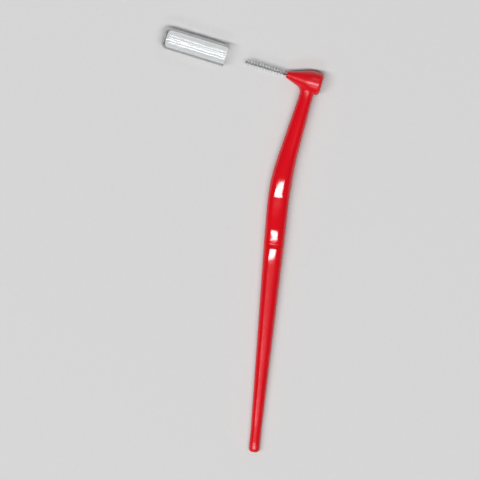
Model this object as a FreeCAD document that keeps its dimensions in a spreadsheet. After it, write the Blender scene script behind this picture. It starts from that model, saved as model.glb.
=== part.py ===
"""Angled interdental brush with its clear protective cap, in millimetres, +Z up, lying on a table.

The wire runs along -X out of the snout, the neck goes to -Y, and the tail leans to +X.
Each piece is drawn about the point where the wire and the neck cross, and is then set on the table.
"""
import FreeCAD
import Part
import math
import os
import Sketcher

Vector = FreeCAD.Vector
Rotation = FreeCAD.Rotation
Placement = FreeCAD.Placement

SIZES = (
    ("head_diameter", 5.5, "round barrel at the back of the head"),
    ("back_lip", 0.3, "thin neck to the rounding of the back rim"),
    ("barrel_length", 3.175, "straight part of the head"),
    ("snout_length", 6.1, "crossing to the tip of the snout"),
    ("snout_diameter", 1.5, "tip of the snout"),
    ("snout_round", 0.25, "rounding of the snout tip"),
    ("shoulder_round", 5.0, "rounding where the snout swells into the barrel"),
    ("rim_round", 0.8, "rounding of the back rim"),
    ("junction_round", 0.32, "rounding in the corner under the head"),
    ("neck_run", 18.5, "straight neck, from the crossing to the bend"),
    ("bend_length", 14.0, "length of the bend along the handle"),
    ("bend_angle", 11.5, "turn of the bend, degrees"),
    ("collar_zone", 4.8, "crossing to the end of the thin neck under the head"),
    ("neck_zone", 14.4, "thin neck to the start of the grip"),
    ("swell_zone", 7.2, "start of the grip to its crest"),
    ("dish_zone", 12.0, "crest to the first cross ridge, over the thumb dish"),
    ("groove_zone", 4.8, "first cross ridge to the second, over the groove"),
    ("heel_zone", 7.2, "second cross ridge to the end of the grip"),
    ("taper_zone", 36.0, "end of the grip to the round tail"),
    ("tail_zone", 6.0, "round tail"),
    ("collar_width", 3.45, "thin neck, in the plane of the bend"),
    ("collar_thick", 3.4, "thin neck, across that plane"),
    ("neck_width", 4.6, "start of the grip"),
    ("neck_thick", 4.1, "start of the grip"),
    ("crest_width", 5.3, "crest of the grip"),
    ("crest_thick", 4.56, "crest of the grip"),
    ("ridge_width", 5.1, "first cross ridge"),
    ("ridge_thick", 4.24, "first cross ridge"),
    ("rib_width", 4.85, "second cross ridge"),
    ("rib_thick", 4.09, "second cross ridge"),
    ("heel_width", 4.45, "end of the grip"),
    ("heel_thick", 3.85, "end of the grip"),
    ("dish_depth", 0.28, "thumb dish, on each face"),
    ("groove_depth", 0.2, "groove between the cross ridges, on each face"),
    ("tail_diameter", 2.65, "round tail"),
    ("tail_round", 1.0, "rounding of the tail end"),
    ("strand_diameter", 0.24, "one leg of the folded wire"),
    ("filament_diameter", 0.08, "one nylon filament"),
    ("clamp_gap", 0.01, "free room on each side of a filament"),
    ("twist_pitch", 1.5, "one full turn of the twisted wire"),
    ("wire_exposed", 10.5, "snout tip to wire tip"),
    ("wire_cover", 1.715, "plastic behind the hole of the wire"),
    ("wire_clearance", 0.02, "wire to its hole, on each side"),
    ("brush_diameter", 2.25, "across the filaments"),
    ("bristle_start", 0.9, "snout tip to the first filament"),
    ("bristle_end", 0.25, "last filament to the wire tip"),
    ("filament_gap", 0.02, "free room between a filament and the next"),
    ("cap_wall", 0.6, "wall of the cap"),
    ("cap_end_wall", 0.9, "closed end of the cap"),
    ("cap_end_round", 1.6, "rounding of the closed end outside"),
    ("cap_well_round", 0.9, "rounding of the closed end inside"),
    ("cap_mouth_round", 0.2, "rounding of the mouth"),
    ("cap_tip_room", 1.2, "wire tip to the end of the well, cap on"),
    ("cap_seat_gap", 0.3, "mouth to the snout along the wire, cap on"),
    ("cap_gap", 5.0, "wire tip to the mouth, cap off"),
)
# Points nearer than this are the same point
CLOSE = 1e-5
FULL_TURN = 360.0
# Most of a wall or radius that a rounding may take
ROUND_SHARE = 0.8
# Most of a wall that each of the two roundings on its edges may take
RIM_SHARE = 0.4
# Least turn of the twist, in offsets of a leg, at which the legs still clear the filaments
LEAST_TWIST = 7.0

doc = FreeCAD.newDocument("interdental_brush")
sheet = doc.addObject("Spreadsheet::Sheet", "Sizes")
for row, (alias, value, meaning) in enumerate(SIZES, start=1):
    sheet.set(f"A{row}", alias.replace("_", " "))
    sheet.set(f"B{row}", str(value))
    sheet.setAlias(f"B{row}", alias)
    sheet.set(f"C{row}", meaning)
doc.recompute()

# Sizes that follow from others
HEAD_RADIUS = "(Sizes.head_diameter / 2)"
SNOUT_RADIUS = "(Sizes.snout_diameter / 2)"
HEAD_BACK = "(Sizes.collar_width / 2 + Sizes.back_lip + Sizes.rim_round)"
HEAD_LENGTH = f"(Sizes.snout_length + {HEAD_BACK})"
CONE_LENGTH = f"({HEAD_LENGTH} - Sizes.barrel_length)"
JUNCTION_ROUND = f"min(Sizes.junction_round; {ROUND_SHARE} * Sizes.back_lip)"
TAIL_RADIUS = "(Sizes.tail_diameter / 2)"
TAIL_ROUND = f"min(Sizes.tail_round; {ROUND_SHARE} * {TAIL_RADIUS})"
STRAND_RADIUS = "(Sizes.strand_diameter / 2)"
STRAND_OFFSET = f"({STRAND_RADIUS} + Sizes.filament_diameter / 2 + Sizes.clamp_gap)"
WIRE_RADIUS = f"({STRAND_OFFSET} + {STRAND_RADIUS})"
HOLE_RADIUS = f"({WIRE_RADIUS} + Sizes.wire_clearance)"
SNOUT_ROUND = f"min(Sizes.snout_round; {ROUND_SHARE} * ({SNOUT_RADIUS} - {HOLE_RADIUS}))"
HOLE_DEPTH = f"({HEAD_LENGTH} - Sizes.wire_cover)"
WIRE_HOLD = f"({HOLE_DEPTH} - {HOLE_RADIUS})"
TWIST_PITCH = f"max(Sizes.twist_pitch; {LEAST_TWIST} * {STRAND_OFFSET})"
FILAMENT_PITCH = "(Sizes.filament_diameter + Sizes.filament_gap)"
BORE_RADIUS = f"({HEAD_RADIUS} - Sizes.cap_wall)"
CONE_SPREAD = f"(({HEAD_RADIUS} - {SNOUT_RADIUS}) / {CONE_LENGTH})"
CAP_OVERLAP = f"(({BORE_RADIUS} - {SNOUT_RADIUS}) / {CONE_SPREAD} - Sizes.cap_seat_gap)"
CAP_LENGTH = f"({CAP_OVERLAP} + Sizes.wire_exposed + Sizes.cap_tip_room + Sizes.cap_end_wall)"
WIRE_TIP = "(Sizes.snout_length + Sizes.wire_exposed)"
CAP_MOUTH = f"({WIRE_TIP} + Sizes.cap_gap)"
END_ROUND = f"min(Sizes.cap_end_round; {ROUND_SHARE} * {HEAD_RADIUS})"
WELL_ROUND = f"min(Sizes.cap_well_round; {ROUND_SHARE} * {BORE_RADIUS})"
MOUTH_ROUND = f"min(Sizes.cap_mouth_round; {RIM_SHARE} * Sizes.cap_wall)"

# Spine of the handle, as a function of the distance along it: straight neck, one bend, straight tail
BEND_RADIUS = "(Sizes.bend_length * 180 / (pi * Sizes.bend_angle))"
BENT = "min(max(({along}) - Sizes.neck_run; 0); Sizes.bend_length)"
AFTER = "max(({along}) - Sizes.neck_run - Sizes.bend_length; 0)"
LEAN = f"(Sizes.bend_angle * {BENT} / Sizes.bend_length)"
SPINE_SIDE = f"({BEND_RADIUS} * (1 - cos({LEAN})) + {AFTER} * sin({LEAN}))"
SPINE_DOWN = (f"(min(({{along}}); Sizes.neck_run) + {BEND_RADIUS} * sin({LEAN})"
              f" + {AFTER} * cos({LEAN}))")

# An oval is four arcs that meet at the 45 degree points of an ellipse
CHORD = "(({span}) * sqrt(0.5))"
ARC_RADIUS = "((({far})^2 / 2 + ({near})^2 * (1 - sqrt(0.5))^2) / (4 * ({near}) * (1 - sqrt(0.5))))"


def measure(expression):
    """Value of an expression over the sheet."""
    return float(sheet.evalExpression(expression.replace("Sizes.", "")))


def new_body(label):
    """Empty body that will hold one piece."""
    body = doc.addObject("PartDesign::Body", label)
    body.Label = label
    return body


def new_sketch(body, name, role):
    """Sketch on one of the body's own origin planes."""
    sketch = body.newObject("Sketcher::SketchObject", name)
    plane = next(feature for feature in body.Origin.OriginFeatures if feature.Role == role)
    sketch.AttachmentSupport = [(plane, "")]
    sketch.MapMode = "FlatFace"
    return sketch


def bind(sketch, constraint, name, expression):
    """Adds a constraint and ties its value to the sheet."""
    index = sketch.addConstraint(constraint)
    sketch.renameConstraint(index, name)
    sketch.setExpression(f"Constraints.{name}", expression)


def draw_profile(sketch, corners):
    """Closed outline of straight lines; each corner is a pair of expressions, none below zero."""
    points = [Vector(measure(along), measure(out), 0) for along, out in corners]
    for i, point in enumerate(points):
        sketch.addGeometry(Part.LineSegment(point, points[(i + 1) % len(points)]), False)
    for i, (along, out) in enumerate(corners):
        before = (i - 1) % len(corners)
        sketch.addConstraint(Sketcher.Constraint("Coincident", before, 2, i, 1))
        if along == "0":
            sketch.addConstraint(Sketcher.Constraint("PointOnObject", i, 1, -2))
        else:
            bind(sketch, Sketcher.Constraint("DistanceX", -1, 1, i, 1, points[i].x), f"along_{i}", along)
        if out == "0":
            sketch.addConstraint(Sketcher.Constraint("PointOnObject", i, 1, -1))
        else:
            bind(sketch, Sketcher.Constraint("DistanceY", -1, 1, i, 1, points[i].y), f"out_{i}", out)


def draw_circle(sketch, radius):
    """Circle at the sketch's origin."""
    sketch.addGeometry(Part.Circle(Vector(0, 0, 0), Vector(0, 0, 1), measure(radius)), False)
    sketch.addConstraint(Sketcher.Constraint("Coincident", 0, 3, -1, 1))
    bind(sketch, Sketcher.Constraint("Radius", 0, measure(radius)), "radius", radius)


def draw_oval(sketch, width, thick):
    """Oval with its width on the sketch's first axis and its thickness on the second."""
    half_wide = measure(width) / 2
    half_thick = measure(thick) / 2
    wide_chord = measure(CHORD.format(span=width))
    thick_chord = measure(CHORD.format(span=thick))
    corners = [Vector(side * wide_chord / 2, face * thick_chord / 2, 0)
               for side, face in ((1, -1), (1, 1), (-1, 1), (-1, -1))]
    crowns = [Vector(half_wide, 0, 0), Vector(0, half_thick, 0),
              Vector(-half_wide, 0, 0), Vector(0, -half_thick, 0)]
    for i, crown in enumerate(crowns):
        arc = Part.Arc(corners[i], crown, corners[(i + 1) % len(corners)])
        sketch.addGeometry(arc, False)
    for i in range(len(corners)):
        sketch.addConstraint(Sketcher.Constraint("Coincident", i, 2, (i + 1) % len(corners), 1))
    sketch.addConstraint(Sketcher.Constraint("Symmetric", 0, 1, 2, 1, -1, 1))
    sketch.addConstraint(Sketcher.Constraint("Symmetric", 1, 1, 3, 1, -1, 1))
    sketch.addConstraint(Sketcher.Constraint("Vertical", 0, 1, 1, 1))
    sketch.addConstraint(Sketcher.Constraint("Equal", 0, 2))
    sketch.addConstraint(Sketcher.Constraint("Equal", 1, 3))
    across = Sketcher.Constraint("DistanceX", 2, 1, 1, 1, wide_chord)
    bind(sketch, across, "wide_chord", CHORD.format(span=width))
    through = Sketcher.Constraint("DistanceY", 0, 1, 1, 1, thick_chord)
    bind(sketch, through, "thick_chord", CHORD.format(span=thick))
    for edge, name, near, far in ((0, "side_radius", width, thick), (1, "face_radius", thick, width)):
        radius = ARC_RADIUS.format(near=near, far=far)
        bind(sketch, Sketcher.Constraint("Radius", edge, measure(radius)), name, radius)


def revolve(body, name, sketch):
    """Turned solid about the sketch's first axis."""
    turned = body.newObject("PartDesign::Revolution", name)
    turned.Profile = sketch
    turned.ReferenceAxis = (sketch, ["H_Axis"])
    turned.Angle = FULL_TURN
    doc.recompute()
    return turned


def round_edges(body, name, picked, radius):
    """Rounds the edges of the body's last feature that the test picks."""
    doc.recompute()
    base = body.Tip
    edges = [f"Edge{i}" for i, edge in enumerate(base.Shape.Edges, start=1) if picked(edge)]
    if not edges:
        raise RuntimeError(f"{name}: no edge found")
    fillet = body.newObject("PartDesign::Fillet", name)
    fillet.Base = (base, edges)
    fillet.setExpression("Radius", radius)
    doc.recompute()


def ring(centre, radius):
    """Test for a round edge of a given centre and radius."""
    def picked(edge):
        curve = edge.Curve
        if not isinstance(curve, Part.Circle):
            return False
        return curve.Center.distanceToPoint(centre) < CLOSE and abs(curve.Radius - radius) < CLOSE
    return picked


def spine_sketch(body, name, along):
    """Sketch square to the spine, its first axis in the plane of the bend and its second along Z."""
    sketch = new_sketch(body, name, "XZ_Plane")
    sketch.AttachmentOffset = Placement(Vector(0, 0, 0), Rotation(Vector(0, 1, 0), 1))
    sketch.setExpression("AttachmentOffset.Base.x", SPINE_SIDE.format(along=along))
    sketch.setExpression("AttachmentOffset.Base.z", SPINE_DOWN.format(along=along))
    sketch.setExpression("AttachmentOffset.Rotation.Angle", LEAN.format(along=along))
    return sketch


def spine_point(along):
    """Point on the spine."""
    return Vector(measure(SPINE_SIDE.format(along=along)), -measure(SPINE_DOWN.format(along=along)), 0)


def handle_stations():
    """Sections of the shaft, about evenly spaced: distance along the spine, width, thickness."""
    # Zone, sections in it, places where it starts and ends, depth of the hollow on each face
    zones = (
        ("collar_zone", 2, "collar", "collar", "0"),
        ("neck_zone", 6, "collar", "neck", "0"),
        ("swell_zone", 3, "neck", "crest", "0"),
        ("dish_zone", 5, "crest", "ridge", "Sizes.dish_depth"),
        ("groove_zone", 2, "ridge", "rib", "Sizes.groove_depth"),
        ("heel_zone", 3, "rib", "heel", "0"),
        ("taper_zone", 15, "heel", "tail", "0"),
    )
    stations = [("0", "Sizes.collar_width", "Sizes.collar_thick")]
    start = "0"
    for zone, steps, before, after, hollow in zones:
        for step in range(1, steps + 1):
            share = step / steps
            along = f"{start} + Sizes.{zone} * {share}"
            width = f"{span(before, 'width')} * {1 - share} + {span(after, 'width')} * {share}"
            thick = f"{span(before, 'thick')} * {1 - share} + {span(after, 'thick')} * {share}"
            stations.append((along, width, f"{thick} - 2 * {hollow} * sin(180 * {share})^2"))
        start = f"{start} + Sizes.{zone}"
    return stations


def span(place, direction):
    """Size of the shaft at a named place; the tail is round."""
    return "Sizes.tail_diameter" if place == "tail" else f"Sizes.{place}_{direction}"


def draw_head(sketch):
    """Half outline of the head from the snout tip: cone, shoulder arc, barrel and flat back."""
    tip = Vector(0, measure(SNOUT_RADIUS), 0)
    corner = Vector(measure(CONE_LENGTH), measure(HEAD_RADIUS), 0)
    rim = Vector(measure(HEAD_LENGTH), measure(HEAD_RADIUS), 0)
    slope = math.atan2(corner.y - tip.y, corner.x)
    radius = measure("Sizes.shoulder_round")
    reach = radius * math.tan(slope / 2)
    cone_end = corner - Vector(math.cos(slope), math.sin(slope), 0) * reach
    barrel_start = corner + Vector(reach, 0, 0)
    centre = barrel_start - Vector(0, radius, 0)
    crown = centre + Vector(-math.sin(slope / 2), math.cos(slope / 2), 0) * radius
    foot = Vector(rim.x, 0, 0)
    front, cone, shoulder, barrel, back, axis, meeting = range(7)
    sketch.addGeometry(Part.LineSegment(Vector(0, 0, 0), tip), False)
    sketch.addGeometry(Part.LineSegment(tip, cone_end), False)
    sketch.addGeometry(Part.Arc(barrel_start, crown, cone_end), False)
    sketch.addGeometry(Part.LineSegment(barrel_start, rim), False)
    sketch.addGeometry(Part.LineSegment(rim, foot), False)
    sketch.addGeometry(Part.LineSegment(foot, Vector(0, 0, 0)), False)
    sketch.addGeometry(Part.Point(corner), True)
    for first, second in ((front, cone), (barrel, back), (back, axis), (axis, front)):
        sketch.addConstraint(Sketcher.Constraint("Coincident", first, 2, second, 1))
    sketch.addConstraint(Sketcher.Constraint("Tangent", cone, 2, shoulder, 2))
    sketch.addConstraint(Sketcher.Constraint("Tangent", barrel, 1, shoulder, 1))
    sketch.addConstraint(Sketcher.Constraint("Coincident", front, 1, -1, 1))
    sketch.addConstraint(Sketcher.Constraint("PointOnObject", front, 2, -2))
    sketch.addConstraint(Sketcher.Constraint("PointOnObject", back, 2, -1))
    sketch.addConstraint(Sketcher.Constraint("Vertical", back))
    sketch.addConstraint(Sketcher.Constraint("PointOnObject", meeting, 1, cone))
    sketch.addConstraint(Sketcher.Constraint("PointOnObject", meeting, 1, barrel))
    sketch.addConstraint(Sketcher.Constraint("Horizontal", barrel))
    bind(sketch, Sketcher.Constraint("DistanceY", -1, 1, front, 2, tip.y), "snout_radius", SNOUT_RADIUS)
    bind(sketch, Sketcher.Constraint("DistanceX", -1, 1, meeting, 1, corner.x), "cone_length", CONE_LENGTH)
    bind(sketch, Sketcher.Constraint("DistanceX", -1, 1, back, 1, rim.x), "head_length", HEAD_LENGTH)
    bind(sketch, Sketcher.Constraint("DistanceY", -1, 1, back, 1, rim.y), "head_radius", HEAD_RADIUS)
    bind(sketch, Sketcher.Constraint("Radius", shoulder, radius), "shoulder", "Sizes.shoulder_round")


def make_handle():
    """One moulding: turned head, bent shaft with grip, round tail and the hole for the wire."""
    body = new_body("handle")
    head_sketch = new_sketch(body, "head_outline", "XY_Plane")
    head_sketch.setExpression("AttachmentOffset.Base.x", "-Sizes.snout_length")
    draw_head(head_sketch)
    revolve(body, "head", head_sketch)
    snout_tip = Vector(-measure("Sizes.snout_length"), 0, 0)
    back = Vector(measure(HEAD_BACK), 0, 0)
    round_edges(body, "rim_rounding", ring(back, measure(HEAD_RADIUS)), "Sizes.rim_round")
    round_edges(body, "snout_rounding", ring(snout_tip, measure(SNOUT_RADIUS)), SNOUT_ROUND)
    head_skin = body.Tip.Shape.Shells[0].copy()

    stations = handle_stations()
    sections = []
    for i, (along, width, thick) in enumerate(stations):
        sketch = spine_sketch(body, f"section_{i}", along)
        draw_oval(sketch, width, thick)
        sections.append(sketch)
    doc.recompute()
    shaft = body.newObject("PartDesign::AdditiveLoft", "shaft")
    shaft.Profile = sections[0]
    shaft.Sections = sections[1:]
    doc.recompute()
    shaft_skin = shaft.AddSubShape.Shells[0]

    def under_head(edge):
        middle = Part.Vertex(edge.valueAt((edge.FirstParameter + edge.LastParameter) / 2))
        return middle.distToShape(head_skin)[0] < CLOSE and middle.distToShape(shaft_skin)[0] < CLOSE

    round_edges(body, "junction_rounding", under_head, JUNCTION_ROUND)

    tail_along = stations[-1][0]
    tail_sketch = spine_sketch(body, "tail_circle", tail_along)
    draw_circle(tail_sketch, TAIL_RADIUS)
    tail = body.newObject("PartDesign::Pad", "tail")
    tail.Profile = tail_sketch
    tail.setExpression("Length", "Sizes.tail_zone")
    tail_end = spine_point(f"{tail_along} + Sizes.tail_zone")
    round_edges(body, "tail_rounding", ring(tail_end, measure(TAIL_RADIUS)), TAIL_ROUND)

    hole_sketch = new_sketch(body, "wire_hole_circle", "YZ_Plane")
    hole_sketch.setExpression("AttachmentOffset.Base.z", "-Sizes.snout_length")
    draw_circle(hole_sketch, HOLE_RADIUS)
    before = body.Tip.Shape.Volume
    hole = body.newObject("PartDesign::Pocket", "wire_hole")
    hole.Profile = hole_sketch
    hole.Reversed = True
    hole.setExpression("Length", HOLE_DEPTH)
    doc.recompute()
    hole_volume = math.pi * measure(HOLE_RADIUS) ** 2 * measure(HOLE_DEPTH)
    if before - hole.Shape.Volume < hole_volume / 2:
        raise RuntimeError("the wire hole doesn't cut the head")
    return body


def make_core_wire():
    """One wire folded in half, its two legs twisted about X; the fold lies inside the head."""
    body = new_body("core_wire")
    legs = []
    for name, turned in (("first", 0.0), ("second", FULL_TURN / 2)):
        sketch = new_sketch(body, f"{name}_leg_circle", "YZ_Plane")
        sketch.AttachmentOffset = Placement(Vector(0, 0, 0), Rotation(Vector(0, 0, 1), turned))
        sketch.setExpression("AttachmentOffset.Base.z", f"{WIRE_HOLD} - Sizes.snout_length")
        centre = Vector(measure(STRAND_OFFSET), 0, 0)
        sketch.addGeometry(Part.Circle(centre, Vector(0, 0, 1), measure(STRAND_RADIUS)), False)
        sketch.addConstraint(Sketcher.Constraint("PointOnObject", 0, 3, -1))
        offset = Sketcher.Constraint("DistanceX", -1, 1, 0, 3, centre.x)
        bind(sketch, offset, "offset", STRAND_OFFSET)
        bind(sketch, Sketcher.Constraint("Radius", 0, measure(STRAND_RADIUS)), "radius", STRAND_RADIUS)
        legs.append(sketch)
    doc.recompute()
    fold = body.newObject("PartDesign::Revolution", "fold")
    fold.Profile = legs[0]
    fold.ReferenceAxis = (legs[0], ["V_Axis"])
    fold.Angle = FULL_TURN / 2
    fold.Reversed = True
    doc.recompute()
    for sketch in legs:
        leg = body.newObject("PartDesign::AdditiveHelix", sketch.Name.replace("_circle", ""))
        leg.Profile = sketch
        leg.ReferenceAxis = (sketch, ["N_Axis"])
        leg.Mode = "pitch-height-angle"
        leg.Reversed = True
        leg.setExpression("Pitch", TWIST_PITCH)
        leg.setExpression("Height", f"{WIRE_HOLD} + Sizes.wire_exposed")
        doc.recompute()
    return body


def make_filaments():
    """Row of filaments through the axis of the wire, each square to the two legs beside it."""
    radius = measure("Sizes.filament_diameter / 2")
    length = measure("Sizes.brush_diameter")
    pitch = measure(FILAMENT_PITCH)
    first = measure("Sizes.snout_length + Sizes.bristle_start")
    last = measure(f"{WIRE_TIP} - Sizes.bristle_end")
    fold = measure(f"{WIRE_HOLD} - Sizes.snout_length")
    turn = FULL_TURN / measure(TWIST_PITCH)
    row = []
    for i in range(int((last - first) / pitch) + 1):
        along = first + i * pitch
        twist = Rotation(Vector(-1, 0, 0), turn * (fold + along))
        across = twist.multVec(Vector(0, 0, 1))
        start = Vector(-along, 0, 0) - across * (length / 2)
        row.append(Part.makeCylinder(radius, length, start, across))
    filaments = doc.addObject("Part::Feature", "filaments")
    filaments.Label = "filaments"
    filaments.Shape = Part.makeCompound(row)
    return filaments


def make_cap():
    """Clear tube with a closed round end, flush with the head, lying off the brush in line with the wire."""
    body = new_body("protective_cap")
    sketch = new_sketch(body, "cap_outline", "XY_Plane")
    sketch.setExpression("AttachmentOffset.Base.x", f"-{CAP_MOUTH} - {CAP_LENGTH}")
    outside = (("0", "0"), ("0", HEAD_RADIUS), (CAP_LENGTH, HEAD_RADIUS))
    inside = ((CAP_LENGTH, BORE_RADIUS), ("Sizes.cap_end_wall", BORE_RADIUS), ("Sizes.cap_end_wall", "0"))
    draw_profile(sketch, outside + inside)
    revolve(body, "tube", sketch)
    mouth = Vector(-measure(CAP_MOUTH), 0, 0)
    closed_end = mouth - Vector(measure(CAP_LENGTH), 0, 0)
    well = closed_end + Vector(measure("Sizes.cap_end_wall"), 0, 0)
    outer_mouth = ring(mouth, measure(HEAD_RADIUS))
    inner_mouth = ring(mouth, measure(BORE_RADIUS))
    round_edges(body, "end_rounding", ring(closed_end, measure(HEAD_RADIUS)), END_ROUND)
    round_edges(body, "well_rounding", ring(well, measure(BORE_RADIUS)), WELL_ROUND)
    round_edges(body, "mouth_rounding", lambda edge: outer_mouth(edge) or inner_mouth(edge), MOUTH_ROUND)
    return body


def set_on_table(brush, cap):
    """Lays head, tail and cap on the table, and puts the origin under the middle of the whole."""
    end = f"{handle_stations()[-1][0]} + Sizes.tail_zone - {TAIL_ROUND}"
    drop = measure(HEAD_RADIUS) - measure(TAIL_RADIUS)
    tilt = math.degrees(math.asin(drop / -spine_point(end).y))
    lean = Rotation(Vector(1, 0, 0), tilt)
    for piece in brush:
        piece.Placement = Placement(Vector(0, 0, 0), lean)
    doc.recompute()
    box = FreeCAD.BoundBox()
    for piece in brush + [cap]:
        box.add(piece.Shape.optimalBoundingBox(False, False))
    shift = Vector(-box.Center.x, -box.Center.y, -box.ZMin)
    for piece in brush:
        piece.Placement = Placement(shift, lean)
    cap.Placement = Placement(shift, Rotation())
    doc.recompute()
    return Placement(shift, lean)


handle = make_handle()
core_wire = make_core_wire()
filaments = make_filaments()
protective_cap = make_cap()
pieces = [handle, core_wire, filaments, protective_cap]
seat = set_on_table([handle, core_wire, filaments], protective_cap)

for thing in doc.Objects:
    if "Invalid" in thing.State or "Error" in thing.State:
        raise RuntimeError(f"{thing.Name} failed: {thing.State}")
for piece in pieces:
    if piece.Shape.isNull() or not piece.Shape.isValid():
        raise RuntimeError(f"{piece.Label} has no valid shape")

os.makedirs("parts", exist_ok=True)
for piece in pieces:
    piece.Shape.exportStep(f"parts/{piece.Label}.step")

print("crossing", seat.Base)
print("cap travel", measure(f"{CAP_OVERLAP} + Sizes.wire_exposed + Sizes.cap_gap"))
print("cap mouth", seat.Base - Vector(measure(CAP_MOUTH), 0, 0), "bore radius", measure(BORE_RADIUS))
tail_tip = seat.multVec(spine_point(f"{handle_stations()[-1][0]} + Sizes.tail_zone"))
tail_root = seat.multVec(spine_point(handle_stations()[-1][0]))
print("tail end", tail_tip, "axis", (tail_tip - tail_root).normalize())
for piece in pieces:
    size = piece.Shape.optimalBoundingBox(False, False)
    print(piece.Label, "solids", len(piece.Shape.Solids), "volume", round(piece.Shape.Volume, 3), size)
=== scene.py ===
"""Looks of an angled interdental brush and its clear cap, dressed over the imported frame."""

import math

import bmesh
import bpy
from bpy.props import FloatProperty, FloatVectorProperty, IntProperty, PointerProperty
from bpy.types import Operator, Panel, PropertyGroup
from mathutils import Matrix, Vector


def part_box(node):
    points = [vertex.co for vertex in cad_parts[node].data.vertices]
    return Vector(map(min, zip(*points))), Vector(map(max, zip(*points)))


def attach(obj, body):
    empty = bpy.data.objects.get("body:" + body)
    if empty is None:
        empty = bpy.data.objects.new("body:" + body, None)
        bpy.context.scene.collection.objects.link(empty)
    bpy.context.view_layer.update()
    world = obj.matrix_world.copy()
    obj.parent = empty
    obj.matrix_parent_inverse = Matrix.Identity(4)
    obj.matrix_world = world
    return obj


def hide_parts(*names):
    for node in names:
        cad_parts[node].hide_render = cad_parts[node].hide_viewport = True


bl_info = {
    "name": "Interdental brush",
    "version": (1, 0, 0),
    "blender": (4, 5, 0),
    "location": "3D View > Sidebar > Brush",
    "description": "Makes an angled interdental brush with its clear cap, and a plain stage for it",
    "category": "Object",
}

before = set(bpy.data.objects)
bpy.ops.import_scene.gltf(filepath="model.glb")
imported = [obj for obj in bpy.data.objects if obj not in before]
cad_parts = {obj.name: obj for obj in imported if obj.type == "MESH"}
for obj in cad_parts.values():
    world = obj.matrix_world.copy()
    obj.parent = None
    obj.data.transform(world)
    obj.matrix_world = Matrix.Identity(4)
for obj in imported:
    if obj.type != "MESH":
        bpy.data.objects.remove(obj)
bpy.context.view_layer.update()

MM = 0.001
HANDLE_LOW, HANDLE_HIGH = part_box("handle")
WIRE_LOW, WIRE_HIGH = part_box("core_wire")
BRISTLE_LOW, BRISTLE_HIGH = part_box("filaments")
CAP_LOW, CAP_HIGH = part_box("protective_cap")
WIRE_MIDDLE = (WIRE_LOW + WIRE_HIGH) / 2
SNOUT_LENGTH = 6.1 * MM
CROSSING = Vector((HANDLE_LOW.x + SNOUT_LENGTH, WIRE_MIDDLE.y, WIRE_MIDDLE.z))

# How finely the turned and lofted shapes are divided
SECTION_POINTS = 64
TURNED_POINTS = 96
ARC_STEPS = 10
EASING_STEPS = 8
CONE_STEPS = 16
BARREL_STEPS = 8
TUBE_STEPS = 24
COARSE_STEP = 0.6 * MM
FINE_STEP = 0.15 * MM
# Stretch of fine rings under the web, and beyond each end of the grip
FINE_UNDER_WEB = 1.5 * MM
FINE_BEYOND_GRIP = 2.0 * MM
# Stretch over which the width of the handle is evened out
WIDTH_EASING = 2.0 * MM
# Faces that meet at more than this show an edge
SHARP_ANGLE = math.radians(38)
# Lowest point of the web to the first level ring, and shares of the way down to it
WEB_DROP = 0.08 * MM
WEB_SHARES = (0.06, 0.14, 0.26, 0.42, 0.68, 1.0)
# Even ends of a noise pattern, whose values keep to the middle
NOISE_LOW = 0.3
NOISE_HIGH = 0.7
EVEN = (1.0, 1.0, 1.0)


def length(name, description, millimetres):
    """Property for a length, given in millimetres."""
    return FloatProperty(name=name, description=description, default=millimetres * MM, min=0.0,
                         unit="LENGTH", precision=5)


def place(name, description, along, width, thick, softness):
    """Property for a place on the handle: distance along it, width, thickness and rounding."""
    return FloatVectorProperty(name=name, description=f"{description}: along, width, thickness, rounding",
                               default=(along * MM, width * MM, thick * MM, softness * MM), size=4,
                               unit="LENGTH", precision=5)


def colour(name, description, value):
    """Property for a colour."""
    return FloatVectorProperty(name=name, description=description, default=value, size=3,
                               subtype="COLOR", min=0.0, max=1.0)


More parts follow.
